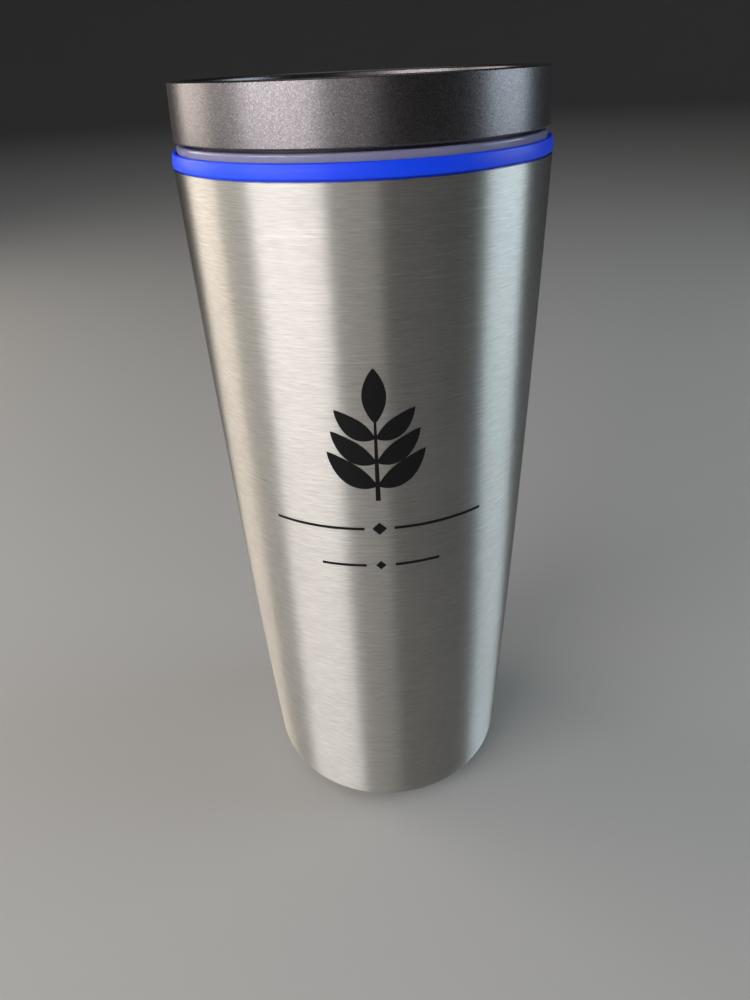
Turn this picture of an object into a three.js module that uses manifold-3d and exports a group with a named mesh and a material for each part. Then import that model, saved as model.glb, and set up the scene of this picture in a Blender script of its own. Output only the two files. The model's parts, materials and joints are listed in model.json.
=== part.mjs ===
// Insulated travel tumbler with a screw-on lid that has a thumb slide.
// Millimetres, +Z up. The origin is the centre of the face that the tumbler stands on.
//
// Tumbler: a brushed steel shell with a welded base plate and a glued anti-slip pad, a
// translucent plastic liner whose threaded neck stands above the shell, a coloured ring
// clamped between the two, and a seal that closes the insulating air space.
// Lid: a dished cap, a threaded plug welded under it, a gasket on the plug, and a slide
// with the seal and the carrier that it pulls along under the deck.
// The lid is drawn screwed down, with its slide drawn back and the drink opening clear.

import * as THREE from 'three';
import { mergeVertices } from 'three/addons/utils/BufferGeometryUtils.js';
import Module from 'manifold-3d';

const wasm = await Module();
wasm.setup();

// ---------------------------------------------------------------- driving dimensions

const CLEARANCE = 0.3;            // between neighbouring pieces
const ROOT = 0.5;                 // how far shapes that are joined reach into each other
const LARGE_FACETS = 48;          // round the shell, the liner, the lid and their seals
const SMALL_FACETS = 36;          // round the base

// Steel shell: a nearly straight cone over a soft bottom corner.
const SHELL_BOTTOM = 0.5;
const SHELL_TOP = 186;
const SHELL_MOUTH_RADIUS = 43.6;
const SHELL_FOOT_RADIUS = 36.4;   // where the wall's line would reach the table
const SHELL_BOW = 0.86;           // how far the wall swells out of a straight line
const SHELL_WALL = 0.6;
const SHELL_CORNER_WIDTH = 12.4;
const SHELL_CORNER_HEIGHT = 10;
const CORNER_POWER = 2.7;         // 2 is an ellipse, more is squarer
const LIP_ROLL = 1.2;             // outer radius of the rolled lip round the base
const LIP_TOP = 3.6;

// Base plate and pad.
const PLATE_BOTTOM = 1.9;
const PAD_RADIUS = 22;
const PAD_EDGE = 0.5;

// Liner.
const AIR_SPACE = 2.7;
const LINER_WALL = 1.8;
const LINER_BOTTOM = 6;
const LINER_CORNER_WIDTH = 12;
const LINER_CORNER_HEIGHT = 10;
const NECK_RADIUS = 42.4;
const NECK_WAIST_RADIUS = 41.6;   // beside the ring's tongue
const NECK_BORE = 40.4;
const RIM_TOP = 190.8;
const RIM_EDGE = 0.4;             // chamfer on the liner's rim
const SEAT_RADIUS = 39.2;         // the gasket seals on this land
const SEAT_BOTTOM = 173.6;
const SEAT_TOP = 179.4;
const COLLAR_BOTTOM = 174.5;
const SEAL_GROOVE_BOTTOM = 175.6;
const SEAL_GROOVE_TOP = 178.4;
const SEAL_GROOVE_RADIUS = 40.9;
const WAIST_BOTTOM = 182.6;
const WAIST_TOP = 186.9;

// Ring.
const RING_TOP = 189.3;
const RING_TOP_RADIUS = 43.45;
const RING_BOTTOM_RADIUS = 43.8;
const TONGUE_BOTTOM = 183;

// Screw thread between the neck and the plug: right-hand, four starts.
const STARTS = 4;
const LEAD = 24;
const LUG_ARC = 28;               // degrees
const LUG_RAMP = 3;               // degrees of slope at each end of a lug
const LUG_MIDDLE = -98.3;         // degrees, the middle of the lug nearest the front
const NECK_LUG_HEIGHT = 2.6;
const PLUG_LUG_HEIGHT = 2.4;
const NECK_LUG_CREST = 39.3;
const PLUG_LUG_CREST = 40;
const NECK_LUG_LEVEL = 186;

// Lid cap.
const LID_TOP = 203;
const LID_BOTTOM = 191.4;
const LID_TOP_RADIUS = 42.4;
const LID_BOTTOM_RADIUS = 42.85;
const LID_EDGE = 0.4;             // fillet at the rim's outer edge
const RIM_INNER_RADIUS = 39.4;
const DECK_RADIUS = 38;
const DECK_TOP = 198;
const DECK_BOTTOM = 195.8;
const SKIRT_BORE = 40.9;

// Plug.
const PLUG_BOTTOM = 173.8;
const PLUG_RADIUS = 38.9;
const PLUG_TOE_RADIUS = 38.5;
const PLUG_TOE_EDGE = 0.4;        // lead-in chamfer
const PLUG_BORE = 36.6;
const GASKET_GROOVE_BOTTOM = 175;
const GASKET_GROOVE_TOP = 178.2;
const GASKET_GROOVE_RADIUS = 37.7;
const FLANGE_THICKNESS = 2;

// Deck openings and slide. The slide runs along Y and closes towards +Y.
const TRAVEL = 15;
const CHANNEL_WIDTH = 20.8;
const CHANNEL_DEPTH = 0.7;
const CHANNEL_MARGIN = 0.6;       // beyond the slide's ends
const DRINK_WIDTH = 16;
const DRINK_LENGTH = 7;
const DRINK_MIDDLE = 28.5;
const DRINK_CORNER = 3;
const VENT_RADIUS = 1.5;
const VENT_MIDDLE = -30;
const SLIDE_WIDTH = 20;
const SLIDE_BACK = -8;
const SLIDE_FRONT = 19;
const SLIDE_CORNER = 5;
const SLIDE_THICKNESS = 1.8;
const GRIP_WIDTH = 14;
const GRIP_LENGTH = 11;
const GRIP_CORNER = 2;
const GRIP_HEIGHT = 1.8;
const RIDGE_HEIGHT = 0.6;
const RIDGE_LENGTH = GRIP_WIDTH - 3;
const RIDGE_WIDTH = 1;
const RIDGES = 3;
const STEM_MIDDLE = -1;
const STEM_LENGTH = 8;
const STEM_WIDTH = 4.4;
const STEM_SLIT = 1.4;
const SLOT_CORNER = 0.5;          // of the holes that the stem passes through
const BARB = 0.7;                 // how far each leg hooks under the carrier
const BARB_HEIGHT = 0.9;
const SLIT_ABOVE_CARRIER = 1.2;   // the legs bend over this much more than the carrier
const SEAL_WIDTH = 20;
const SEAL_BACK = -22.5;
const SEAL_FRONT = 19.5;
const SEAL_CORNER = 6;
const SEAL_THICKNESS = 1.4;
const CARRIER_MARGIN = 1;         // how far the carrier stays inside the seal's outline
const CARRIER_THICKNESS = 1.6;

// Heights that follow from the ones above.
const CHANNEL_FLOOR = DECK_TOP - CHANNEL_DEPTH;
const SLIDE_BOTTOM = CHANNEL_FLOOR + CLEARANCE;
const SEAL_TOP = DECK_BOTTOM - CLEARANCE;
const SEAL_BOTTOM = SEAL_TOP - SEAL_THICKNESS;
const CARRIER_TOP = SEAL_BOTTOM - CLEARANCE;
const CARRIER_BOTTOM = CARRIER_TOP - CARRIER_THICKNESS;
const PITCH = LEAD / STARTS;

// ---------------------------------------------------------------- shared shapes

const radians = THREE.MathUtils.degToRad;

// Points on a circular arc in a section, angles in degrees.
function arc(centreR, centreZ, radius, from, to, steps = 3) {
  return Array.from({ length: steps + 1 }, (_, i) => {
    const angle = radians(from + ((to - from) * i) / steps);
    return [centreR + radius * Math.cos(angle), centreZ + radius * Math.sin(angle)];
  });
}

// Evenly spaced heights, both ends included.
function heights(from, to, steps) {
  return Array.from({ length: steps + 1 }, (_, i) => from + ((to - from) * i) / steps);
}

// A turned solid. The section is a list of [radius, height], anticlockwise seen with the
// axis on the left, either from axis to axis or closed on itself.
function turned(section, facets) {
  const startsOnAxis = section[0][0] === 0;
  const outline = startsOnAxis ? section : [...section, section[0]];
  const points = outline.map(([radius, height]) => new THREE.Vector2(radius, height));
  return new THREE.LatheGeometry(points, facets).rotateX(Math.PI / 2);
}

// A plate with rounded corners, lying level, from its back and front along Y.
function plateOutline(width, back, front, corner) {
  const half = width / 2;
  const shape = new THREE.Shape();
  shape.absarc(half - corner, front - corner, corner, 0, Math.PI / 2);
  shape.absarc(corner - half, front - corner, corner, Math.PI / 2, Math.PI);
  shape.absarc(corner - half, back + corner, corner, Math.PI, 1.5 * Math.PI);
  shape.absarc(half - corner, back + corner, corner, 1.5 * Math.PI, 2 * Math.PI);
  return shape;
}

function plate(outline, bottom, top) {
  const settings = { depth: top - bottom, bevelEnabled: false, curveSegments: 4 };
  return new THREE.ExtrudeGeometry(outline, settings).translate(0, 0, bottom);
}

// A geometry as a manifold-3d solid, for joining and cutting.
function solid(geometry) {
  const bare = geometry.clone();
  bare.deleteAttribute('normal');
  bare.deleteAttribute('uv');
  const merged = mergeVertices(bare, 1e-4);
  const corners = merged.index.array;
  const faces = [];
  for (let i = 0; i < corners.length; i += 3) {
    const [a, b, c] = corners.subarray(i, i + 3);
    if (a !== b && b !== c && c !== a) faces.push(a, b, c);
  }
  const vertProperties = Float32Array.from(merged.attributes.position.array);
  const triVerts = Uint32Array.from(faces);
  return new wasm.Manifold(new wasm.Mesh({ numProp: 3, vertProperties, triVerts }));
}

function geometryOf(body) {
  const { vertProperties, triVerts } = body.getMesh();
  const geometry = new THREE.BufferGeometry();
  geometry.setAttribute('position', new THREE.BufferAttribute(vertProperties, 3));
  geometry.setIndex(new THREE.BufferAttribute(triVerts, 1));
  geometry.computeVertexNormals();
  return geometry;
}

// One base geometry with others joined on and then others cut away.
function shaped(base, joined = [], cut = []) {
  let body = solid(base);
  for (const piece of joined) body = body.add(solid(piece));
  for (const piece of cut) body = body.subtract(solid(piece));
  return geometryOf(body);
}

// Radius of the shell's outer wall, leaving out the bottom corner.
function wallRadius(height) {
  const t = height / SHELL_TOP;
  const straight = SHELL_FOOT_RADIUS + (SHELL_MOUTH_RADIUS - SHELL_FOOT_RADIUS) * t;
  return straight + SHELL_BOW * 4 * t * (1 - t);
}

// Points round a soft bottom corner, from the flat bottom out and up to the wall.
// The corner's wall lies inset inside the shell's outer wall.
function corner(bottom, width, height, inset, steps) {
  return heights(90, 0, steps).map((degrees) => {
    const angle = radians(degrees);
    const drop = 1 - Math.sin(angle) ** (2 / CORNER_POWER);
    const pull = 1 - Math.cos(angle) ** (2 / CORNER_POWER);
    const level = bottom + height * drop;
    return [wallRadius(level) - inset - width * pull, level];
  });
}

// Points up the wall, from above the corner to a height.
function wall(from, to, inset, steps) {
  return heights(from, to, steps).map((level) => [wallRadius(level) - inset, level]);
}

// A thread lug: a block on an arc, sloped along the helix, with ramped ends.
// Its middle is at the given angle and level.
function lug(rootRadius, crestRadius, height, middleAngle, level) {
  const half = LUG_ARC / 2;
  const along = (radius, from, to) =>
    heights(from, to, 6).map((degrees) => {
      const angle = radians(middleAngle + degrees);
      return new THREE.Vector2(radius * Math.cos(angle), radius * Math.sin(angle));
    });
  const root = along(rootRadius, -half, half);
  const crest = along(crestRadius, half - LUG_RAMP, LUG_RAMP - half);
  const settings = { depth: height, bevelEnabled: false, steps: 1 };
  const block = new THREE.ExtrudeGeometry(new THREE.Shape([...root, ...crest]), settings);
  const position = block.attributes.position;
  const middle = radians(middleAngle);
  for (let i = 0; i < position.count; i += 1) {
    const x = position.getX(i);
    const y = position.getY(i);
    const sideways = Math.cos(middle) * y - Math.sin(middle) * x;
    const forward = Math.cos(middle) * x + Math.sin(middle) * y;
    const turn = Math.atan2(sideways, forward);
    const climb = (LEAD * turn) / (2 * Math.PI);
    position.setZ(i, level - height / 2 + position.getZ(i) + climb);
  }
  return block;
}

function lugRing(rootRadius, crestRadius, height, level) {
  return Array.from({ length: STARTS }, (_, i) =>
    lug(rootRadius, crestRadius, height, LUG_MIDDLE + (i * 360) / STARTS, level));
}

// ---------------------------------------------------------------- tumbler

// Drawn steel, closed below by a rolled lip that the base plate is welded into.
function outerShell() {
  const outerCorner = corner(SHELL_BOTTOM, SHELL_CORNER_WIDTH, SHELL_CORNER_HEIGHT, 0, 7);
  const innerCorner = corner(SHELL_BOTTOM + SHELL_WALL, SHELL_CORNER_WIDTH - SHELL_WALL,
    SHELL_CORNER_HEIGHT - SHELL_WALL, SHELL_WALL, 7);
  const cornerTop = SHELL_BOTTOM + SHELL_CORNER_HEIGHT;
  const lipRadius = outerCorner[0][0];
  const rollCentre = SHELL_BOTTOM + LIP_ROLL;
  return turned([
    [lipRadius - LIP_ROLL, LIP_TOP],
    ...arc(lipRadius, rollCentre, LIP_ROLL, 180, 270),
    ...outerCorner.slice(1),
    ...wall(cornerTop, SHELL_TOP, 0, 5).slice(1),
    ...wall(SHELL_TOP, cornerTop, SHELL_WALL, 5),
    ...innerCorner.reverse().slice(1, -1),
    ...arc(lipRadius, rollCentre, LIP_ROLL - SHELL_WALL, 270, 180),
    [lipRadius - LIP_ROLL + SHELL_WALL, LIP_TOP],
  ], LARGE_FACETS);
}

// A shallow steel pan, its rim against the shell's lip.
function basePlate() {
  const lipRadius = wallRadius(SHELL_BOTTOM) - SHELL_CORNER_WIDTH - LIP_ROLL;
  const radius = lipRadius - CLEARANCE;
  const bend = 0.8;
  const bendCentre = PLATE_BOTTOM + bend;
  return turned([
    [0, PLATE_BOTTOM],
    ...arc(radius - bend, bendCentre, bend, 270, 360, 2),
    [radius, LIP_TOP],
    [radius - SHELL_WALL, LIP_TOP],
    ...arc(radius - bend, bendCentre, bend - SHELL_WALL, 360, 270, 1),
    [0, PLATE_BOTTOM + SHELL_WALL],
  ], SMALL_FACETS);
}

// The tumbler stands on this pad, which is a little proud of the steel.
function basePad() {
  return turned([
    [0, 0],
    [PAD_RADIUS - PAD_EDGE, 0],
    [PAD_RADIUS, PAD_EDGE],
    [PAD_RADIUS, PLATE_BOTTOM - CLEARANCE],
    [0, PLATE_BOTTOM - CLEARANCE],
  ], SMALL_FACETS);
}

// Thin-walled cup. Its collar centres it in the shell, and its neck carries the lid's thread.
function innerLiner() {
  const outside = SHELL_WALL + AIR_SPACE;
  const inside = outside + LINER_WALL;
  const collarSlope = NECK_RADIUS - (wallRadius(COLLAR_BOTTOM) - outside);
  const cornerTop = LINER_BOTTOM + LINER_CORNER_HEIGHT;
  const cup = turned([
    [0, LINER_BOTTOM],
    ...corner(LINER_BOTTOM, LINER_CORNER_WIDTH, LINER_CORNER_HEIGHT, outside, 5),
    ...wall(cornerTop, COLLAR_BOTTOM - collarSlope, outside, 5).slice(1),
    [NECK_RADIUS, COLLAR_BOTTOM],
    [NECK_RADIUS, SEAL_GROOVE_BOTTOM],
    [SEAL_GROOVE_RADIUS, SEAL_GROOVE_BOTTOM],
    [SEAL_GROOVE_RADIUS, SEAL_GROOVE_TOP],
    [NECK_RADIUS, SEAL_GROOVE_TOP],
    [NECK_RADIUS, WAIST_BOTTOM],
    [NECK_WAIST_RADIUS, WAIST_BOTTOM],
    [NECK_WAIST_RADIUS, WAIST_TOP],
    [NECK_RADIUS, WAIST_TOP],
    [NECK_RADIUS, RIM_TOP - RIM_EDGE],
    [NECK_RADIUS - RIM_EDGE, RIM_TOP],
    [NECK_BORE + RIM_EDGE, RIM_TOP],
    [NECK_BORE, RIM_TOP - RIM_EDGE],
    [NECK_BORE, SEAT_TOP + NECK_BORE - SEAT_RADIUS],
    [SEAT_RADIUS, SEAT_TOP],
    [SEAT_RADIUS, SEAT_BOTTOM],
    ...wall(SEAT_BOTTOM - 1, cornerTop, inside, 5),
    ...corner(LINER_BOTTOM + LINER_WALL, LINER_CORNER_WIDTH - LINER_WALL,
      LINER_CORNER_HEIGHT - LINER_WALL, inside, 5).reverse().slice(1),
    [0, LINER_BOTTOM + LINER_WALL],
  ], LARGE_FACETS);
  const lugs = lugRing(NECK_BORE + ROOT, NECK_LUG_CREST, NECK_LUG_HEIGHT, NECK_LUG_LEVEL);
  return shaped(cup, lugs);
}

// The band stands on the shell's edge, and its tongue reaches down between shell and neck.
function accentRing() {
  const bandBottom = SHELL_TOP + CLEARANCE;
  const bandBore = NECK_RADIUS + CLEARANCE;
  const tongueBore = NECK_WAIST_RADIUS + CLEARANCE;
  const tongueRadius = SHELL_MOUTH_RADIUS - SHELL_WALL - CLEARANCE;
  const bevel = 0.3;
  return turned([
    [tongueBore, TONGUE_BOTTOM],
    [tongueRadius, TONGUE_BOTTOM],
    [tongueRadius, bandBottom],
    [RING_BOTTOM_RADIUS - bevel, bandBottom],
    [RING_BOTTOM_RADIUS, bandBottom + bevel],
    [RING_TOP_RADIUS, RING_TOP - bevel],
    [RING_TOP_RADIUS - bevel, RING_TOP],
    [bandBore, RING_TOP],
    [bandBore, WAIST_TOP - CLEARANCE],
    [tongueBore, WAIST_TOP - CLEARANCE],
  ], LARGE_FACETS);
}

// Round-section seal between the liner's groove and the shell.
function shellSeal() {
  const inner = SEAL_GROOVE_RADIUS + CLEARANCE;
  const outer = wallRadius(SEAL_GROOVE_BOTTOM) - SHELL_WALL - CLEARANCE;
  const section = (outer - inner) / 2;
  const level = (SEAL_GROOVE_BOTTOM + SEAL_GROOVE_TOP) / 2;
  return turned(arc(inner + section, level, section, 0, 300, 5), LARGE_FACETS);
}

// ---------------------------------------------------------------- lid

// Where the drink flows, where the slide's stem runs, and the air vent.
function deckCuts() {
  const past = 2;
  const below = DECK_BOTTOM - past;
  const above = DECK_TOP + past;
  const channel = plateOutline(CHANNEL_WIDTH, SLIDE_BACK - CHANNEL_MARGIN,
    SLIDE_FRONT + TRAVEL + CHANNEL_MARGIN, SLIDE_CORNER);
  const drink = plateOutline(DRINK_WIDTH, DRINK_MIDDLE - DRINK_LENGTH / 2,
    DRINK_MIDDLE + DRINK_LENGTH / 2, DRINK_CORNER);
  const reach = STEM_LENGTH / 2 + CLEARANCE;
  const slot = plateOutline(STEM_WIDTH + 2 * CLEARANCE, STEM_MIDDLE - reach,
    STEM_MIDDLE + TRAVEL + reach, SLOT_CORNER);
  const vent = new THREE.CylinderGeometry(VENT_RADIUS, VENT_RADIUS, above - below, 16)
    .rotateX(Math.PI / 2)
    .translate(0, VENT_MIDDLE, (above + below) / 2);
  return [
    plate(channel, CHANNEL_FLOOR, above),
    plate(drink, below, above),
    plate(slot, below, above),
    vent,
  ];
}

// Skirt, rim and dished deck in one moulding.
function lidCap() {
  const draft = (LID_BOTTOM_RADIUS - LID_TOP_RADIUS) / (LID_TOP - LID_BOTTOM);
  const foot = 0.3;
  const innerEdge = 0.6;
  const deckFillet = 0.8;
  const skirtFillet = 1;
  const dish = turned([
    [0, DECK_BOTTOM],
    ...arc(SKIRT_BORE - skirtFillet, DECK_BOTTOM - skirtFillet, skirtFillet, 90, 0),
    [SKIRT_BORE, LID_BOTTOM],
    [LID_BOTTOM_RADIUS - foot, LID_BOTTOM],
    [LID_BOTTOM_RADIUS - draft * foot, LID_BOTTOM + foot],
    ...arc(LID_TOP_RADIUS - LID_EDGE, LID_TOP - LID_EDGE, LID_EDGE, 0, 90),
    ...arc(RIM_INNER_RADIUS + innerEdge, LID_TOP - innerEdge, innerEdge, 90, 180, 2),
    ...arc(DECK_RADIUS, DECK_TOP + deckFillet, deckFillet, 0, -90, 2),
    [0, DECK_TOP],
  ], LARGE_FACETS);
  return shaped(dish, [], deckCuts());
}

// Threaded ring with a flange that closes the cap's underside and a groove for the gasket.
function lidPlug() {
  const flangeRadius = SKIRT_BORE - CLEARANCE;
  const ring = turned([
    [PLUG_BORE, PLUG_BOTTOM],
    [PLUG_TOE_RADIUS - PLUG_TOE_EDGE, PLUG_BOTTOM],
    [PLUG_TOE_RADIUS, PLUG_BOTTOM + PLUG_TOE_EDGE],
    [PLUG_TOE_RADIUS, GASKET_GROOVE_BOTTOM],
    [GASKET_GROOVE_RADIUS, GASKET_GROOVE_BOTTOM],
    [GASKET_GROOVE_RADIUS, GASKET_GROOVE_TOP],
    [PLUG_RADIUS, GASKET_GROOVE_TOP],
    [PLUG_RADIUS, LID_BOTTOM],
    [flangeRadius, LID_BOTTOM],
    [flangeRadius, LID_BOTTOM + FLANGE_THICKNESS],
    [PLUG_RADIUS, LID_BOTTOM + FLANGE_THICKNESS],
    [PLUG_RADIUS, DECK_BOTTOM - CLEARANCE],
    [PLUG_BORE, DECK_BOTTOM - CLEARANCE],
  ], LARGE_FACETS);
  const root = PLUG_RADIUS - ROOT;
  const upper = lugRing(root, PLUG_LUG_CREST, PLUG_LUG_HEIGHT, NECK_LUG_LEVEL + PITCH / 2);
  const lower = lugRing(root, PLUG_LUG_CREST, PLUG_LUG_HEIGHT, NECK_LUG_LEVEL - PITCH / 2);
  return shaped(ring, [...upper, ...lower]);
}

// Gasket with two soft lips that wipe the liner's seat.
function lidGasket() {
  const web = 0.45;
  const bore = GASKET_GROOVE_RADIUS + CLEARANCE;
  const waist = bore + web;
  const lip = SEAT_RADIUS - CLEARANCE;
  const bottom = GASKET_GROOVE_BOTTOM + CLEARANCE;
  const top = GASKET_GROOVE_TOP - CLEARANCE;
  const lipHeight = 0.9;
  return turned([
    [bore, bottom],
    [waist, bottom],
    [lip, bottom + lipHeight / 2],
    [waist, bottom + lipHeight],
    [waist, top - lipHeight],
    [lip, top - lipHeight / 2],
    [waist, top],
    [bore, top],
  ], LARGE_FACETS);
}

// Snap stem: two legs with barbs, drawn in X and height and run along Y.
function slideStem() {
  const half = STEM_WIDTH / 2;
  const slit = STEM_SLIT / 2;
  const barbTop = CARRIER_BOTTOM - CLEARANCE;
  const tip = barbTop - BARB_HEIGHT;
  const slitTop = CARRIER_TOP + SLIT_ABOVE_CARRIER;
  const top = SLIDE_BOTTOM + ROOT;
  const leg = [[half, top], [half, barbTop], [half + BARB, barbTop], [half, tip], [slit, tip],
    [slit, slitTop]];
  const mirrored = leg.map(([x, z]) => [-x, z]).reverse();
  const outline = [...leg, ...mirrored].map(([x, z]) => new THREE.Vector2(x, z));
  const settings = { depth: STEM_LENGTH, bevelEnabled: false };
  return new THREE.ExtrudeGeometry(new THREE.Shape(outline), settings)
    .rotateX(Math.PI / 2)
    .translate(0, STEM_MIDDLE + STEM_LENGTH / 2, 0);
}

// Thumb slide: a plate in the deck's channel, a raised grip with ridges, and the stem.
function slide() {
  const top = SLIDE_BOTTOM + SLIDE_THICKNESS;
  const gripTop = top + GRIP_HEIGHT;
  const middle = (SLIDE_BACK + SLIDE_FRONT) / 2;
  const outline = plateOutline(SLIDE_WIDTH, SLIDE_BACK, SLIDE_FRONT, SLIDE_CORNER);
  const base = plate(outline, SLIDE_BOTTOM, top);
  const grip = plate(plateOutline(GRIP_WIDTH, middle - GRIP_LENGTH / 2,
    middle + GRIP_LENGTH / 2, GRIP_CORNER), top - ROOT, gripTop);
  const spacing = GRIP_LENGTH / (RIDGES + 1);
  const ridges = Array.from({ length: RIDGES }, (_, i) => {
    const at = middle - GRIP_LENGTH / 2 + spacing * (i + 1);
    return new THREE.BoxGeometry(RIDGE_LENGTH, RIDGE_WIDTH, RIDGE_HEIGHT + ROOT)
      .translate(0, at, gripTop + (RIDGE_HEIGHT - ROOT) / 2);
  });
  return shaped(base, [grip, ...ridges, slideStem()]);
}

// Hole in the seal and the carrier that the stem snaps through.
function stemHole(bottom, top) {
  const reach = STEM_LENGTH / 2 + CLEARANCE;
  const outline = plateOutline(STEM_WIDTH + 2 * CLEARANCE, STEM_MIDDLE - reach,
    STEM_MIDDLE + reach, SLOT_CORNER);
  return plate(outline, bottom - 1, top + 1);
}

// Soft pad that closes the slot at all times, and the drink opening when pushed forward.
function slideSeal() {
  const outline = plateOutline(SEAL_WIDTH, SEAL_BACK, SEAL_FRONT, SEAL_CORNER);
  const pad = plate(outline, SEAL_BOTTOM, SEAL_TOP);
  return shaped(pad, [], [stemHole(SEAL_BOTTOM, SEAL_TOP)]);
}

// Rigid carrier that presses the seal up against the deck.
function slideCarrier() {
  const outline = plateOutline(SEAL_WIDTH - 2 * CARRIER_MARGIN, SEAL_BACK + CARRIER_MARGIN,
    SEAL_FRONT - CARRIER_MARGIN, SEAL_CORNER - CARRIER_MARGIN);
  const body = plate(outline, CARRIER_BOTTOM, CARRIER_TOP);
  return shaped(body, [], [stemHole(CARRIER_BOTTOM, CARRIER_TOP)]);
}

// ---------------------------------------------------------------- assembly

function finish(color, roughness, metalness = 0) {
  return new THREE.MeshStandardMaterial({ color, roughness, metalness });
}

const steel = finish(0xb9b8b4, 0.32, 1);
const bluePlastic = finish(0x2b44f0, 0.35);
const blackPlastic = finish(0x1b1b1d, 0.5);
const translucentPlastic = finish(0xd4d3ee, 0.3);
const silicone = finish(0xdedee2, 0.6);
const rubber = finish(0x141415, 0.8);

function piece(name, geometry, material) {
  const mesh = new THREE.Mesh(geometry, material);
  mesh.name = name;
  return mesh;
}

const tumbler = new THREE.Group();
tumbler.add(
  piece('outer_shell', outerShell(), steel),
  piece('base_plate', basePlate(), steel),
  piece('base_pad', basePad(), rubber),
  piece('inner_liner', innerLiner(), translucentPlastic),
  piece('accent_ring', accentRing(), bluePlastic),
  piece('shell_seal', shellSeal(), silicone),
);

const slideGroup = new THREE.Group();
slideGroup.add(
  piece('slider', slide(), blackPlastic),
  piece('slider_seal', slideSeal(), silicone),
  piece('slider_carrier', slideCarrier(), blackPlastic),
);

const lid = new THREE.Group();
lid.add(
  piece('lid_cap', lidCap(), blackPlastic),
  piece('lid_plug', lidPlug(), blackPlastic),
  piece('lid_gasket', lidGasket(), silicone),
  slideGroup,
);

const assembly = new THREE.Group();
assembly.add(tumbler, lid);

export default assembly;
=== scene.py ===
"""Insulated tumbler with a screw-on slide lid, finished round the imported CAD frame.

Every piece but the printed mark is a fine mesh that stands for one CAD node and rides on that
node's body. Outlines are in millimetres and become metres where the mesh is made.
"""

import json
import math

import bmesh
import bpy
from mathutils import Matrix, Vector


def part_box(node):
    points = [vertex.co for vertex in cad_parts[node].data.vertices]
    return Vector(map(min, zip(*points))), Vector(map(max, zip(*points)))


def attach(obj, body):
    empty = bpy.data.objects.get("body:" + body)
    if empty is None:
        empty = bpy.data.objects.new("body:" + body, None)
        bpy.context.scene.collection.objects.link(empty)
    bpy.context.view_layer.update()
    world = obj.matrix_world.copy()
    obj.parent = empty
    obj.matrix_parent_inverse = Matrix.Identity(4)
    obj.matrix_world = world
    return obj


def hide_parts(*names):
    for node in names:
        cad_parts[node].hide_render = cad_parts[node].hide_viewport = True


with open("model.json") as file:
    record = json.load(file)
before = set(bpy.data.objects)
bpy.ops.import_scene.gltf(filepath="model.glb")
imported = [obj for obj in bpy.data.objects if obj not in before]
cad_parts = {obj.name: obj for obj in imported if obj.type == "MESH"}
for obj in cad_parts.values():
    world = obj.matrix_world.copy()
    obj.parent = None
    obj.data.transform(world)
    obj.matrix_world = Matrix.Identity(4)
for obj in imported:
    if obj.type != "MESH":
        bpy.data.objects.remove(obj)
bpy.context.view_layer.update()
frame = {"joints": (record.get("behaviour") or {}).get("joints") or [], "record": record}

# ---------------------------------------------------------------- sizes, in millimetres

MM = 0.001
FACETS = 192                      # round a turned piece
FINE_FACETS = 256                 # round the pieces that make the outline
CLEARANCE = 0.3                   # between neighbouring pieces
ON_AXIS = 1e-6                    # radii below this lie on the axis
SHARP_EDGE = math.radians(35)     # edges bent more than this stay sharp


# Levels, radius and reach along Y of a CAD node.

def bottom(node):
    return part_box(node)[0][2] / MM


def top(node):
    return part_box(node)[1][2] / MM


def radius(node):
    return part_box(node)[1][0] / MM


def span_y(node):
    low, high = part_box(node)
    return low[1] / MM, high[1] / MM


# Shell: a nearly straight cone with a slight swell, over a soft bottom corner.
SHELL_BOTTOM = bottom("outer_shell")
SHELL_TOP = top("outer_shell")
MOUTH_RADIUS = radius("outer_shell")
FOOT_RADIUS = 36.4
SWELL = 0.86
SHELL_WALL = 0.6
CORNER_WIDTH = 12.4
CORNER_HEIGHT = 10.0
CORNER_POWER = 2.7
LIP_ROLL = 1.2
LIP_TOP = top("base_plate")
MOUTH_EDGE = 0.15                 # the rounded edge starts this far below the mouth

# Base: a pressed plate with a raised centre, and a pad with round grooves.
CENTRE_RISE = 1.4
CENTRE_RADIUS = 12.5
CENTRE_SLOPE = 1.5                # width of the slope round the raised centre
PAD_HOLLOW_RADIUS = 11.0
PAD_GROOVES = ((12.9, 14.0), (15.9, 17.0), (18.9, 20.2))   # inner and outer radius of each
PAD_RELIEF = 0.45                 # depth of the hollow and the grooves

# Blue ring.
RING_FOOT_INSET = 0.05
RING_WAIST_INSET = 0.1
RING_TOP_INSET = 0.38
RING_CROWN = 6.0                  # radius of the ring's rounded outside

# Liner and its neck.
LINER_BOTTOM = bottom("inner_liner")
RIM_TOP = top("inner_liner")
NECK_RADIUS = radius("inner_liner")
NECK_BORE = NECK_RADIUS - 2.0
NECK_WAIST = NECK_RADIUS - 0.8
WAIST_BOTTOM = 182.6
WAIST_TOP = 186.9
SEAT_RADIUS = 39.2
SEAT_BOTTOM = 173.6
SEAT_TOP = 179.4
COLLAR_BOTTOM = 174.5
SEAL_GROOVE = (175.6, 178.4)
SEAL_GROOVE_RADIUS = 40.9
LINER_OUTSIDE = 3.3               # inside the shell's outer wall
LINER_WALL = 1.8
LINER_CORNER_WIDTH = 12.0
LINER_CORNER_HEIGHT = 10.0

# Thread lugs, four starts.
STARTS = 4
LEAD = 24.0
LUG_ARC = 28.0
LUG_MIDDLE = -98.3
LUG_LEVEL = 186.0
NECK_LUG_HEIGHT = 2.6
PLUG_LUG_HEIGHT = 2.4
NECK_LUG_CREST = 39.3
PLUG_LUG_CREST = 40.0
LUG_RAMP = 4.0                    # degrees over which an end sinks into the wall
LUG_ROOT = 0.5                    # how far a lug reaches into its wall
LUG_STEPS = 28

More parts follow.
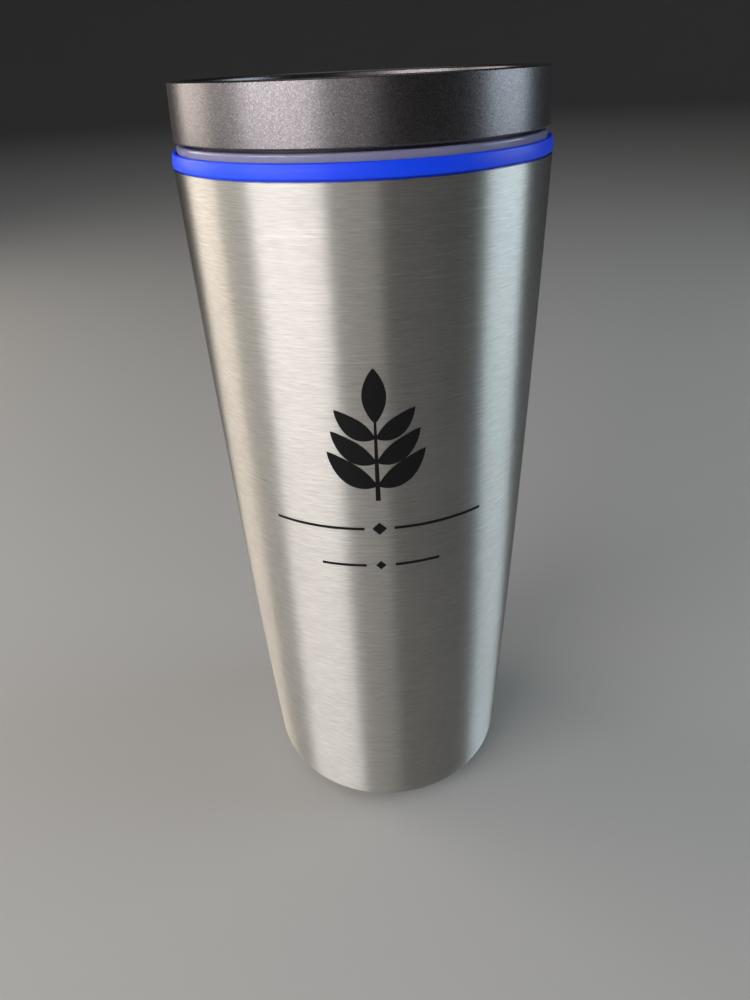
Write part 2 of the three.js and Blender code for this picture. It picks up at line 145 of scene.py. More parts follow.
# Lid.
LID_TOP = top("lid_cap")
LID_BOTTOM = bottom("lid_cap")
LID_RADIUS = radius("lid_cap")
LID_TOP_RADIUS = LID_RADIUS - 0.45
RIM_INNER = LID_TOP_RADIUS - 3.0
DECK_TOP = 198.0
DECK_BOTTOM = 195.8
DECK_RADIUS = 38.0
SKIRT_BORE = 40.9
CHANNEL_DEPTH = 0.7
CHANNEL_WIDTH = 20.8
PLUG_BOTTOM = bottom("lid_plug")
PLUG_RADIUS = 38.9
PLUG_TOE = 38.5
PLUG_BORE = 36.6
GASKET_GROOVE = (175.0, 178.2)
GASKET_GROOVE_RADIUS = 37.7
GASKET_WEB = 0.45
GASKET_LIP = 0.9                  # height of each of the two lips
FLANGE_THICKNESS = 2.0
DRINK_SIZE = (16.0, 7.0)
DRINK_CORNER = 3.2
DRINK_MIDDLE = 28.5
VENT_RADIUS = 1.5
VENT_MIDDLE = -30.0

# Slide.
TRAVEL = frame["joints"][-1]["range_m"][1] / MM
SLIDE_BACK, SLIDE_FRONT = span_y("slider")
SLIDE_WIDTH = 2 * radius("slider")
SLIDE_CORNER = 5.0
SLIDE_MARGIN = 0.6                # between the slide's ends and the channel's
SLIDE_BOTTOM = DECK_TOP - CHANNEL_DEPTH + CLEARANCE
SLIDE_THICKNESS = 1.8
GRIP_SIZE = (14.0, 11.0)
GRIP_HEIGHT = 1.8
GRIP_ROOT = 0.5                   # how far the grip and the stem reach into the slide
GRIP_EASE = 0.6                   # rounding at the grip's ends
RIDGES = 3
RIDGE_HEIGHT = 0.6
STEM_MIDDLE = -1.0
STEM_LENGTH = 8.0
STEM_WIDTH = 4.4
STEM_SLIT = 1.4
SLIT_RISE = 1.2                   # the slit ends this far above the carrier
BARB = 0.7
BARB_HEIGHT = 0.9
STEM_EASE = 0.3


# ---------------------------------------------------------------- outlines

def wall_radius(level):
    """Outer radius of the shell's wall, leaving out the bottom corner."""
    t = level / SHELL_TOP
    straight = FOOT_RADIUS + (MOUTH_RADIUS - FOOT_RADIUS) * t
    return straight + SWELL * 4 * t * (1 - t)


def spread(start, end, steps):
    """Evenly spaced numbers from start to end, both included."""
    return [start + (end - start) * i / steps for i in range(steps + 1)]


def bottom_corner(floor, width, height, inset, steps):
    """Points round a soft bottom corner, from the flat bottom out and up to the wall."""
    points = []
    for angle in spread(math.pi / 2, 0, steps):
        drop = 1 - math.sin(angle) ** (2 / CORNER_POWER)
        pull = 1 - max(math.cos(angle), 0) ** (2 / CORNER_POWER)
        level = floor + height * drop
        points.append((wall_radius(level) - inset - width * pull, level))
    return points


def wall(start, end, inset, steps):
    """Points along the shell's wall between two levels, inset from its outside."""
    return [(wall_radius(level) - inset, level) for level in spread(start, end, steps)]


def arc(centre, size, start, end, steps=8):
    """Points on a circular arc, angles in degrees."""
    angles = [math.radians(a) for a in spread(start, end, steps)]
    return [(centre[0] + size * math.cos(a), centre[1] + size * math.sin(a)) for a in angles]


def rounded(corners, closed=True, steps=5):
    """An outline whose corners (x, y, fillet radius) are rounded; the radius may be left out."""
    points = []
    last = len(corners) - 1
    for i, corner in enumerate(corners):
        here = Vector(corner[:2])
        fillet = corner[2] if len(corner) > 2 else 0
        if fillet == 0 or (not closed and i in (0, last)):
            points.append(tuple(here))
            continue
        before = Vector(corners[i - 1][:2]) - here
        after = Vector(corners[(i + 1) % len(corners)][:2]) - here
        half = before.angle(after) / 2
        reach = min(fillet / math.tan(half), 0.49 * before.length, 0.49 * after.length)
        centre = here + (before.normalized() + after.normalized()).normalized() * (
            reach / math.cos(half))
        start = here + before.normalized() * reach - centre
        end = here + after.normalized() * reach - centre
        turn = math.atan2(start.x * end.y - start.y * end.x, start.dot(end))
        for k in range(steps + 1):
            angle = turn * k / steps
            x = start.x * math.cos(angle) - start.y * math.sin(angle)
            y = start.x * math.sin(angle) + start.y * math.cos(angle)
            points.append((centre.x + x, centre.y + y))
    return points


def plate_outline(width, back, front, corner, grow=0.0, steps=8):
    """A level rectangle with rounded corners; grow moves its edge outwards."""
    half = width / 2 + grow
    back, front, corner = back - grow, front + grow, corner + grow
    corners = [(half, back, corner), (half, front, corner), (-half, front, corner),
               (-half, back, corner)]
    return rounded(corners, steps=steps)


# ---------------------------------------------------------------- meshes

def new_object(name, mesh):
    piece = bpy.data.objects.new(name, mesh)
    bpy.context.scene.collection.objects.link(piece)
    return piece


def finished_mesh(name, bm):
    """A mesh in metres from a bmesh in millimetres, facing out and smooth but for its edges."""
    bmesh.ops.recalc_face_normals(bm, faces=bm.faces)
    bmesh.ops.scale(bm, vec=(MM, MM, MM), verts=bm.verts)
    mesh = bpy.data.meshes.new(name)
    bm.to_mesh(mesh)
    bm.free()
    mesh.shade_smooth()
    mesh.set_sharp_from_angle(angle=SHARP_EDGE)
    return mesh


def turned(name, section, facets=FACETS):
    """A turned piece. Its UV map runs round the axis and along the section, in metres."""
    closed = section[0][0] > ON_AXIS
    bm = bmesh.new()
    uv = bm.loops.layers.uv.new("grain")
    rings = []
    for r, z in section:
        if r <= ON_AXIS:
            rings.append([bm.verts.new((0, 0, z))] * facets)
            continue
        angles = [2 * math.pi * k / facets for k in range(facets)]
        rings.append([bm.verts.new((r * math.cos(a), r * math.sin(a), z)) for a in angles])
    along = [0.0]
    for (r0, z0), (r1, z1) in zip(section, section[1:] + section[:1]):
        along.append(along[-1] + math.hypot(r1 - r0, z1 - z0) * MM)
    steps = len(section) if closed else len(section) - 1
    for i in range(steps):
        lower, upper = rings[i], rings[(i + 1) % len(section)]
        for k in range(facets):
            n = (k + 1) % facets
            corners = [(lower[k], k, i), (lower[n], k + 1, i), (upper[n], k + 1, i + 1),
                       (upper[k], k, i + 1)]
            unique = []
            for corner in corners:
                if corner[0] not in [c[0] for c in unique]:
                    unique.append(corner)
            face = bm.faces.new([c[0] for c in unique])
            for loop, (_, turn, row) in zip(face.loops, unique):
                loop[uv].uv = (turn / facets, along[row])
    return finished_mesh(name, bm)


def lofted(name, outline, stations):
    """A capped solid through copies of one level outline: outline(grow) at each (grow, level)."""
    bm = bmesh.new()
    bm.loops.layers.uv.new("grain")
    rings = [[bm.verts.new((x, y, level)) for x, y in outline(grow)]
             for grow, level in stations]
    bm.faces.new(rings[0])
    bm.faces.new(rings[-1])
    for lower, upper in zip(rings, rings[1:]):
        for k in range(len(lower)):
            n = (k + 1) % len(lower)
            bm.faces.new((lower[k], lower[n], upper[n], upper[k]))
    return finished_mesh(name, bm)


def pushed(name, profile, start, end, ease, place):
    """A prism with rounded ends: profile points (a, b) pushed from start to end.

    ease is the rounding at the ends; place puts a point of the profile and its reach in space.
    """
    middle = [(min(values) + max(values)) / 2 for values in zip(*profile)]
    half = [(max(values) - min(values)) / 2 for values in zip(*profile)]
    bm = bmesh.new()
    bm.loops.layers.uv.new("grain")
    rings = []
    for grow, reach in rounded_stations(start, end, ease, ease):
        wide, tall = 1 + grow / half[0], 1 + grow / half[1]
        rings.append([bm.verts.new(place(middle[0] + (a - middle[0]) * wide,
                                         middle[1] + (b - middle[1]) * tall, reach))
                      for a, b in profile])
    bm.faces.new(rings[0])
    bm.faces.new(rings[-1])
    for first, second in zip(rings, rings[1:]):
        for k in range(len(profile)):
            n = (k + 1) % len(profile)
            bm.faces.new((first[k], first[n], second[n], second[k]))
    return finished_mesh(name, bm)


def rounded_stations(low, high, lower_round, upper_round, steps=4):
    """(grow, level) pairs from low to high for a slab with rounded lower and upper edges."""
    stations = []
    for angle in spread(90, 0, steps):
        a = math.radians(angle)
        stations.append((-lower_round * (1 - math.cos(a)), low + lower_round * (1 - math.sin(a))))
    for angle in spread(0, 90, steps):
        a = math.radians(angle)
        stations.append((-upper_round * (1 - math.cos(a)), high - upper_round * (1 - math.sin(a))))
    return stations


def applied(piece):
    """The piece's mesh with its modifiers applied, smooth but for its edges."""
    graph = bpy.context.evaluated_depsgraph_get()
    mesh = bpy.data.meshes.new_from_object(piece.evaluated_get(graph), depsgraph=graph)
    piece.modifiers.clear()
    mesh.shade_smooth()
    mesh.set_sharp_from_angle(angle=SHARP_EDGE)
    return mesh


def combined(piece, others, operation):
    """piece with other meshes joined on or cut away; the others are used up."""
    speck = 0.0005 * MM
    for mesh in others:
        tool = new_object("tool", mesh)
        step = piece.modifiers.new("step", "BOOLEAN")
        step.operation = operation
        step.solver = "EXACT"
        step.object = tool
        piece.data = applied(piece)
        bpy.data.objects.remove(tool)
    bm = bmesh.new()
    bm.from_mesh(piece.data)
    bmesh.ops.remove_doubles(bm, verts=bm.verts, dist=speck)
    bmesh.ops.dissolve_degenerate(bm, edges=bm.edges, dist=speck)
    bm.to_mesh(piece.data)
    bm.free()
    piece.data.shade_smooth()
    piece.data.set_sharp_from_angle(angle=SHARP_EDGE)
    return piece


def lug(name, root, crest, height, middle, level):
    """A thread lug: a soft-edged ridge on the helix that sinks into its wall at both ends."""
    start = root - math.copysign(LUG_ROOT, crest - root)
    upper_half = [(0.2, 1.0), (0.3, 0.93), (0.42, 0.7), (0.5, 0.25), (0.5, 0.0)]
    lower_half = [(-across, out) for across, out in reversed(upper_half)]
    profile = lower_half + upper_half     # shares of the lug's height and of its reach
    bm = bmesh.new()
    bm.loops.layers.uv.new("grain")
    rings = []
    for turn in spread(-LUG_ARC / 2, LUG_ARC / 2, LUG_STEPS):
        rise = min((LUG_ARC / 2 - abs(turn)) / LUG_RAMP, 1.0)
        rise = rise * rise * (3 - 2 * rise)
        angle = math.radians(middle + turn)
        centre = level + LEAD * turn / 360
        ring = []
        for across, out in profile:
            reach = start + (crest - start) * out * rise
            ring.append(bm.verts.new((reach * math.cos(angle), reach * math.sin(angle),
                                      centre + across * height * (0.55 + 0.45 * rise))))
        rings.append(ring)
    bm.faces.new(rings[0])
    bm.faces.new(rings[-1])
    for first, second in zip(rings, rings[1:]):
        for k in range(len(profile)):
            n = (k + 1) % len(profile)
            bm.faces.new((first[k], first[n], second[n], second[k]))
    return finished_mesh(name, bm)


def lug_ring(root, crest, height, level):
    """One lug for each of the thread's starts."""
    return [lug("lug", root, crest, height, LUG_MIDDLE + 360 * i / STARTS, level)
            for i in range(STARTS)]


# ---------------------------------------------------------------- materials

class Graph:
    """A material's node tree, with short ways to add what the finishes here need.

    Scales are in cells a metre: 1000 is a grain of one millimetre. Noise runs from about 0.3 to
    0.7, so those are the ends that ranged() usually stretches.
    """

    def __init__(self, name):
        self.material = bpy.data.materials.new(name)
        self.material.use_nodes = True
        self.tree = self.material.node_tree
        self.tree.nodes.clear()
        output = self.tree.nodes.new("ShaderNodeOutputMaterial")
        self.shader = self.tree.nodes.new("ShaderNodeBsdfPrincipled")
        self.link(self.shader.outputs["BSDF"], output.inputs["Surface"])
        self.place = self.tree.nodes.new("ShaderNodeTexCoord").outputs["Object"]

    def link(self, source, target):
        self.tree.links.new(source, target)

    def set(self, **values):
        """Sets the shader's own sockets; a name's underscores stand for spaces."""
        for name, value in values.items():
            self.shader.inputs[name.replace("_", " ")].default_value = value

    def feed(self, name, source):
        self.link(source, self.shader.inputs[name])

    def math(self, operation, *terms):
        node = self.tree.nodes.new("ShaderNodeMath")
        node.operation = operation
        for socket, term in zip(node.inputs, terms):
            if isinstance(term, (int, float)):
                socket.default_value = term
            else:
                self.link(term, socket)
        return node.outputs[0]

    def scaled(self, vector, scale):
        """A vector multiplied by an (x, y, z)."""
        node = self.tree.nodes.new("ShaderNodeVectorMath")
        node.operation = "MULTIPLY"
        self.link(vector, node.inputs[0])
        node.inputs[1].default_value = scale
        return node.outputs[0]

    def noise(self, vector, scale, detail=2.0, roughness=0.5):
        node = self.tree.nodes.new("ShaderNodeTexNoise")
        node.inputs["Scale"].default_value = scale
        node.inputs["Detail"].default_value = detail
        node.inputs["Roughness"].default_value = roughness
        self.link(vector, node.inputs["Vector"])
        return node.outputs["Fac"]

    def cells(self, vector, scale):
        """A random value for each small cell, and the distance from the cell's middle."""
        node = self.tree.nodes.new("ShaderNodeTexVoronoi")
        node.inputs["Scale"].default_value = scale
        self.link(vector, node.inputs["Vector"])
        split = self.tree.nodes.new("ShaderNodeSeparateColor")
        self.link(node.outputs["Color"], split.inputs[0])
        return split.outputs[0], node.outputs["Distance"]

    def blend(self, *parts):
        """A weighted sum of (output, weight) pairs."""
        total = None
        for output, weight in parts:
            term = self.math("MULTIPLY", output, weight)
            total = term if total is None else self.math("ADD", total, term)
        return total

    def specks(self, vector, scale, size, share):
        """1 on a few small round specks: size in cells, share of the cells that hold one."""
        chance, distance = self.cells(vector, scale)
        near = self.ranged(distance, size, 0.6 * size)
        rare = self.math("LESS_THAN", chance, share)
        return self.math("MULTIPLY", near, rare)

    def ranged(self, value, low, high, to_low=0.0, to_high=1.0):
        """The value with low to high stretched to to_low to to_high, and held at the ends."""
        node = self.tree.nodes.new("ShaderNodeMapRange")
        self.link(value, node.inputs["Value"])
        for name, number in (("From Min", low), ("From Max", high), ("To Min", to_low),
                             ("To Max", to_high)):
            node.inputs[name].default_value = number
        return node.outputs["Result"]

    def mixed(self, factor, first, second):
        """A colour between two colours, each an (r, g, b) or an output."""
        node = self.tree.nodes.new("ShaderNodeMix")
        node.data_type = "RGBA"
        self.link(factor, node.inputs["Factor"])
        colour_a, colour_b = node.inputs[6], node.inputs[7]
        for socket, colour in ((colour_a, first), (colour_b, second)):
            if isinstance(colour, tuple):
                socket.default_value = (*colour, 1.0)
            else:
                self.link(colour, socket)
        return node.outputs[2]

    def bump(self, height, depth, strength):
        """Relief of a depth in millimetres for height 0 to 1."""
        node = self.tree.nodes.new("ShaderNodeBump")
        node.inputs["Strength"].default_value = strength
        node.inputs["Distance"].default_value = depth * MM
        self.link(height, node.inputs["Height"])
        return node.outputs["Normal"]

    def grain(self, along, across):
        """Coordinates for grain that runs round the axis: cycles per metre along and across it."""
        section = self.tree.nodes.new("ShaderNodeUVMap")
        section.uv_map = "grain"
        split = self.tree.nodes.new("ShaderNodeSeparateXYZ")
        self.link(section.outputs["UV"], split.inputs[0])
        flat = self.scaled(self.place, (along, along, 0))
        rise = self.tree.nodes.new("ShaderNodeCombineXYZ")
        self.link(self.math("MULTIPLY", split.outputs["Y"], across), rise.inputs["Z"])
        total = self.tree.nodes.new("ShaderNodeVectorMath")
        total.operation = "ADD"
        self.link(flat, total.inputs[0])
        self.link(rise.outputs[0], total.inputs[1])
        return total.outputs[0]

    def tangent_round_axis(self):
        """Turns the shader's stretched highlights to follow grain round the axis."""
        node = self.tree.nodes.new("ShaderNodeTangent")
        node.direction_type = "RADIAL"
        node.axis = "Z"
        self.link(node.outputs[0], self.shader.inputs["Tangent"])


def brushed_steel():
    """Fine grain round the body: hair-thin strokes, longer scratches, smudges and dust."""
    g = Graph("brushed_steel")
    dark, light = (0.42, 0.41, 0.39), (0.58, 0.567, 0.542)
    bare, dust = (0.74, 0.73, 0.70), (0.85, 0.85, 0.83)
    hair = g.noise(g.grain(300, 7200), 1.0, 1.0, 0.5)
    stroke = g.noise(g.grain(210, 5600), 1.0, 2.0, 0.65)
    scratch = g.ranged(g.noise(g.grain(60, 5000), 1.0, 0.0), 0.68, 0.78)
    smudge = g.noise(g.place, 32.0, 3.0, 0.6)
    speck = g.specks(g.place, 260.0, 0.08, 0.006)
    strokes = g.blend((hair, 0.55), (stroke, 0.45))
    brushed = g.mixed(g.ranged(strokes, 0.36, 0.64), dark, light)
    scratched = g.mixed(g.math("MULTIPLY", scratch, 0.4), brushed, bare)
    g.feed("Base Color", g.mixed(speck, scratched, dust))
    rough = g.blend((stroke, 0.8), (smudge, 0.2))
    g.feed("Roughness", g.ranged(rough, 0.36, 0.64, 0.37, 0.49))
    g.feed("Normal", g.bump(g.blend((strokes, 1.0), (scratch, 0.3)), 0.006, 0.6))
    g.set(Metallic=1.0, Anisotropic=1.0, Anisotropic_Rotation=0.25)
    g.tangent_round_axis()
    return g.material


def base_steel():
    """Pressed, matt steel with a fine grit and cloudy patches."""
    g = Graph("base_steel")
    dark, light = (0.50, 0.49, 0.47), (0.62, 0.61, 0.59)
    grit = g.noise(g.place, 1800.0, 3.0, 0.6)
    cloud = g.noise(g.place, 90.0, 2.0)
    g.feed("Base Color", g.mixed(cloud, dark, light))
    g.feed("Roughness", g.ranged(grit, 0.3, 0.7, 0.32, 0.5))
    g.feed("Normal", g.bump(grit, 0.01, 0.5))
    g.set(Metallic=1.0)
    return g.material


def pearl_black():
    """Black plastic with a fine sparkling grain, as if pearl flakes lay under the skin."""
    g = Graph("pearl_black_plastic")
    ground, pearl = (0.084, 0.079, 0.084), (0.170, 0.159, 0.170)
    pebble = g.noise(g.place, 2600.0, 2.0, 0.55)
    flake, _ = g.cells(g.place, 8500.0)
    cloud = g.noise(g.place, 60.0, 2.0)
    g.feed("Base Color", g.mixed(g.ranged(flake, 0.45, 1.0), ground, pearl))
    wear = g.blend((pebble, 0.7), (cloud, 0.3))
    g.feed("Roughness", g.ranged(wear, 0.3, 0.7, 0.25, 0.32))
    relief = g.blend((pebble, 0.6), (flake, 0.4))
    g.feed("Normal", g.bump(relief, 0.025, 0.3))
    g.set(Metallic=0.9)
    return g.material


def black_plastic():
    """Satin black plastic with a fine mould texture."""
    g = Graph("black_plastic")
    dark, light = (0.014, 0.014, 0.015), (0.026, 0.026, 0.028)
    grit = g.noise(g.place, 3200.0, 2.0, 0.6)
    cloud = g.noise(g.place, 120.0, 2.0)
    g.feed("Base Color", g.mixed(cloud, dark, light))
    g.feed("Roughness", g.ranged(grit, 0.3, 0.7, 0.36, 0.52))
    g.feed("Normal", g.bump(grit, 0.015, 0.5))
    return g.material


def slide_plastic():
    """Semi-gloss black plastic, a little duller where thumbs have rubbed it."""
    g = Graph("slide_plastic")
    dark, light = (0.014, 0.014, 0.015), (0.024, 0.024, 0.026)
    grit = g.noise(g.place, 3000.0, 2.0, 0.5)
    rub = g.noise(g.place, 170.0, 2.0, 0.5)
    hairline = g.noise(g.scaled(g.place, (3000.0, 260.0, 3000.0)), 1.0, 1.0)
    worn = g.blend((rub, 0.75), (hairline, 0.25))
    g.feed("Base Color", g.mixed(worn, dark, light))
    g.feed("Roughness", g.ranged(worn, 0.35, 0.65, 0.24, 0.32))
    g.feed("Normal", g.bump(grit, 0.006, 0.5))
    return g.material


def blue_plastic():
    """Satin blue plastic with faint scuffs round the ring."""
    g = Graph("blue_plastic")
    deep, bright = (0.004, 0.052, 0.93), (0.009, 0.075, 1.0)
    cloud = g.noise(g.place, 55.0, 2.0)
    scuff = g.noise(g.grain(60, 2400), 1.0, 3.0, 0.6)
    g.feed("Base Color", g.mixed(cloud, deep, bright))
    g.feed("Roughness", g.ranged(scuff, 0.35, 0.7, 0.34, 0.48))
    g.feed("Normal", g.bump(scuff, 0.006, 0.5))
    g.set(Subsurface_Weight=0.3, Subsurface_Scale=0.0015, Subsurface_Radius=(0.2, 0.4, 1.0),
          Specular_IOR_Level=0.22)
    return g.material


def translucent_plastic():
    """Milky plastic: light passes, shapes behind it only show as soft shades. Its blue tint is
    painted light, the blue ring's glow painted into its colour.
    """
    g = Graph("translucent_plastic")
    # The milky pale is the plastic's own; the strong blue in both colours is a painted reflection
    # of the blue ring's light.
    dark, light = (0.56, 0.56, 0.92), (0.66, 0.66, 0.99)
    flow = g.noise(g.grain(30, 500), 1.0, 3.0, 0.6)
    cloud = g.noise(g.place, 80.0, 2.0)
    g.feed("Base Color", g.mixed(cloud, dark, light))
    g.feed("Roughness", g.ranged(flow, 0.3, 0.7, 0.08, 0.16))
    g.feed("Normal", g.bump(flow, 0.02, 0.4))
    g.set(Transmission_Weight=0.68, IOR=1.49, Subsurface_Weight=0.6, Subsurface_Scale=0.002,
          Subsurface_Radius=(0.9, 0.9, 1.0))
    return g.material


def silicone():
    """Pale, soft, slightly translucent silicone."""
    g = Graph("silicone")
    dark, light = (0.66, 0.66, 0.69), (0.78, 0.78, 0.80)
    grit = g.noise(g.place, 1500.0, 2.0, 0.6)
    cloud = g.noise(g.place, 150.0, 2.0)
    g.feed("Base Color", g.mixed(cloud, dark, light))
    g.feed("Roughness", g.ranged(grit, 0.3, 0.7, 0.45, 0.6))
    g.feed("Normal", g.bump(grit, 0.01, 0.4))
    g.set(Subsurface_Weight=0.3, Subsurface_Scale=0.0015, Transmission_Weight=0.1)
    return g.material


def pad_rubber():
    """Matt black rubber with a pebbled skin and some dust in it."""
    g = Graph("pad_rubber")
    black, dusty = (0.012, 0.012, 0.013), (0.06, 0.058, 0.055)
    pebble = g.noise(g.place, 1400.0, 3.0, 0.6)
    dust = g.noise(g.place, 300.0, 4.0, 0.7)
    g.feed("Base Color", g.mixed(g.ranged(dust, 0.55, 0.8), black, dusty))
    g.feed("Roughness", g.ranged(pebble, 0.3, 0.7, 0.6, 0.8))
    g.feed("Normal", g.bump(pebble, 0.03, 0.6))
    return g.material


def printed_ink():
    """Black ink, a little greyer where the print is thin."""
    g = Graph("printed_ink")
    full, thinner = (0.003, 0.003, 0.0035), (0.012, 0.012, 0.012)
    thin = g.noise(g.place, 900.0, 3.0, 0.6)
    g.feed("Base Color", g.mixed(g.ranged(thin, 0.6, 0.85), full, thinner))
    g.feed("Roughness", g.ranged(thin, 0.3, 0.7, 0.42, 0.55))
    g.feed("Normal", g.bump(thin, 0.004, 0.5))
    g.set(Specular_IOR_Level=0.18)
    return g.material


FINISHES = {
    "brushed_steel": brushed_steel(),
    "base_steel": base_steel(),
    "pearl_black_plastic": pearl_black(),
    "black_plastic": black_plastic(),
    "slide_plastic": slide_plastic(),
    "blue_plastic": blue_plastic(),
    "translucent_plastic": translucent_plastic(),
    "silicone": silicone(),
    "pad_rubber": pad_rubber(),
}
INK = printed_ink()

BODY_OF = {node: body for body, nodes in frame["record"]["behaviour"]["bodies"].items()
           for node in nodes}
SLOT_OF = {part["node"]: part["material_slot"] for part in frame["record"]["subparts"]}


def placed(piece, node):
    """The piece stands for a CAD node: its body, its slot and its slot's finish."""
    piece.data.materials.clear()
    piece.data.materials.append(FINISHES[SLOT_OF[node]])
    weighted = piece.modifiers.new("weighted normals", "WEIGHTED_NORMAL")
    weighted.keep_sharp = True
    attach(piece, BODY_OF[node])
    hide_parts(node)


# ---------------------------------------------------------------- tumbler

def shell():
    """The brushed shell: wall, soft bottom corner and a lip rolled up to hold the base plate."""
    outer = bottom_corner(SHELL_BOTTOM, CORNER_WIDTH, CORNER_HEIGHT, 0, 24)
    inner = bottom_corner(SHELL_BOTTOM + SHELL_WALL, CORNER_WIDTH - SHELL_WALL,
                          CORNER_HEIGHT - SHELL_WALL, SHELL_WALL, 24)
    lip = outer[0][0]
    roll = SHELL_BOTTOM + LIP_ROLL
    corner_top = SHELL_BOTTOM + CORNER_HEIGHT
    section = [
        (lip - LIP_ROLL, LIP_TOP),
        *arc((lip, roll), LIP_ROLL, 180, 270),
        *outer[1:],
        *wall(corner_top, SHELL_TOP - MOUTH_EDGE, 0, 24)[1:],
        *arc((MOUTH_RADIUS - SHELL_WALL / 2, SHELL_TOP - SHELL_WALL / 2), SHELL_WALL / 2,
             30, 150, 4),
        *wall(SHELL_TOP - MOUTH_EDGE, corner_top, SHELL_WALL, 12),
        *inner[::-1][1:-1],
        *arc((lip, roll), LIP_ROLL - SHELL_WALL, 270, 180),
        (lip - LIP_ROLL + SHELL_WALL, LIP_TOP),
    ]
    mesh = turned("shell_brushed", section, FINE_FACETS)
    placed(new_object("shell_brushed", mesh), "outer_shell")


def plate():
    """The pressed disc inside the shell's lip, with a raised centre over the pad."""
    lip = wall_radius(SHELL_BOTTOM) - CORNER_WIDTH - LIP_ROLL
    edge = lip - CLEARANCE
    floor = bottom("base_plate")
    section = rounded([
        (0, floor), (edge, floor, 0.8), (edge, LIP_TOP, 0.25),
        (edge - SHELL_WALL, LIP_TOP, 0.25), (edge - SHELL_WALL, floor + SHELL_WALL, 0.3),
        (CENTRE_RADIUS + CENTRE_SLOPE, floor + SHELL_WALL, 0.6),
        (CENTRE_RADIUS, floor + CENTRE_RISE, 0.6), (0, floor + CENTRE_RISE),
    ], closed=False)
    placed(new_object("base_plate_pressed", turned("base_plate_pressed", section)),
           "base_plate")


def pad():
    """The black pad, with a hollow and round grooves between the rings it stands on."""
    edge = radius("base_pad")
    high = top("base_pad")
    draft = 0.15
    corners = [(0, PAD_RELIEF), (PAD_HOLLOW_RADIUS, PAD_RELIEF, 0.2),
               (PAD_HOLLOW_RADIUS + 0.4, 0.0, 0.25)]
    for inner, outer in PAD_GROOVES:
        corners += [(inner, 0.0, 0.2), (inner + draft, PAD_RELIEF, 0.15),
                    (outer - draft, PAD_RELIEF, 0.15), (outer, 0.0, 0.2)]
    corners += [(edge - 0.1, 0.0, 0.45), (edge, high, 0.3), (0, high)]
    section = rounded(corners, closed=False)
    placed(new_object("anti_slip_pad", turned("anti_slip_pad", section)), "base_pad")


def liner():
    """The cup inside the shell, with a wider neck for the ring, the seal and the thread lugs."""
    inside = LINER_OUTSIDE + LINER_WALL
    slope = NECK_RADIUS - (wall_radius(COLLAR_BOTTOM) - LINER_OUTSIDE)
    corner_top = LINER_BOTTOM + LINER_CORNER_HEIGHT
    seat_end = SEAT_BOTTOM - 1
    outer_wall = wall(corner_top, COLLAR_BOTTOM - slope, LINER_OUTSIDE, 8)
    outer = bottom_corner(LINER_BOTTOM, LINER_CORNER_WIDTH, LINER_CORNER_HEIGHT,
                          LINER_OUTSIDE, 16)
    inner = bottom_corner(LINER_BOTTOM + LINER_WALL, LINER_CORNER_WIDTH - LINER_WALL,
                          LINER_CORNER_HEIGHT - LINER_WALL, inside, 16)
    neck = rounded([
        outer_wall[-1], (NECK_RADIUS, COLLAR_BOTTOM, 0.5),
        (NECK_RADIUS, SEAL_GROOVE[0], 0.15), (SEAL_GROOVE_RADIUS, SEAL_GROOVE[0], 0.2),
        (SEAL_GROOVE_RADIUS, SEAL_GROOVE[1], 0.2), (NECK_RADIUS, SEAL_GROOVE[1], 0.15),
        (NECK_RADIUS, WAIST_BOTTOM, 0.15), (NECK_WAIST, WAIST_BOTTOM, 0.15),
        (NECK_WAIST, WAIST_TOP, 0.15), (NECK_RADIUS, WAIST_TOP, 0.15),
        (NECK_RADIUS, RIM_TOP, 0.5), (NECK_BORE, RIM_TOP, 0.5),
        (NECK_BORE, SEAT_TOP + NECK_BORE - SEAT_RADIUS, 0.5), (SEAT_RADIUS, SEAT_TOP, 0.5),
        (SEAT_RADIUS, SEAT_BOTTOM, 0.5), (wall_radius(seat_end) - inside, seat_end),
    ], closed=False)
    section = [
        (0, LINER_BOTTOM),
        *outer,
        *outer_wall[1:-1],
        *neck,
        *wall(seat_end, corner_top, inside, 8)[1:],
        *inner[::-1][1:],
        (0, LINER_BOTTOM + LINER_WALL),
    ]
    cup = new_object("liner_translucent", turned("liner_translucent", section))
    lugs = lug_ring(NECK_BORE, NECK_LUG_CREST, NECK_LUG_HEIGHT, LUG_LEVEL)
    placed(combined(cup, lugs, "UNION"), "inner_liner")


def ring():
    """The blue ring: a crowned band on the shell's edge, with a tongue down inside it."""
    band_bottom = SHELL_TOP + CLEARANCE
    band_bore = NECK_RADIUS + CLEARANCE
    tongue_bore = NECK_WAIST + CLEARANCE
    tongue = MOUTH_RADIUS - SHELL_WALL - CLEARANCE
    edge = radius("accent_ring")
    low, high = bottom("accent_ring"), top("accent_ring")
    section = rounded([
        (tongue_bore, low, 0.2), (tongue, low, 0.2), (tongue, band_bottom),
        (edge - RING_FOOT_INSET, band_bottom, 0.3),
        (edge - RING_WAIST_INSET, (band_bottom + high) / 2, RING_CROWN),
        (edge - RING_TOP_INSET, high, 0.35), (band_bore, high, 0.2),
        (band_bore, WAIST_TOP - CLEARANCE), (tongue_bore, WAIST_TOP - CLEARANCE, 0.1),
    ])
    placed(new_object("ring_blue", turned("ring_blue", section, FINE_FACETS)), "accent_ring")


def air_seal():
    """A round silicone ring in the groove of the liner's neck; it closes the air space."""
    low, high = bottom("shell_seal"), top("shell_seal")
    edge = radius("shell_seal")
    inner = SEAL_GROOVE_RADIUS + CLEARANCE
    section = arc(((inner + edge) / 2, (low + high) / 2), (edge - inner) / 2, 0, 345, 23)
    placed(new_object("air_space_seal", turned("air_space_seal", section)), "shell_seal")


# ---------------------------------------------------------------- lid

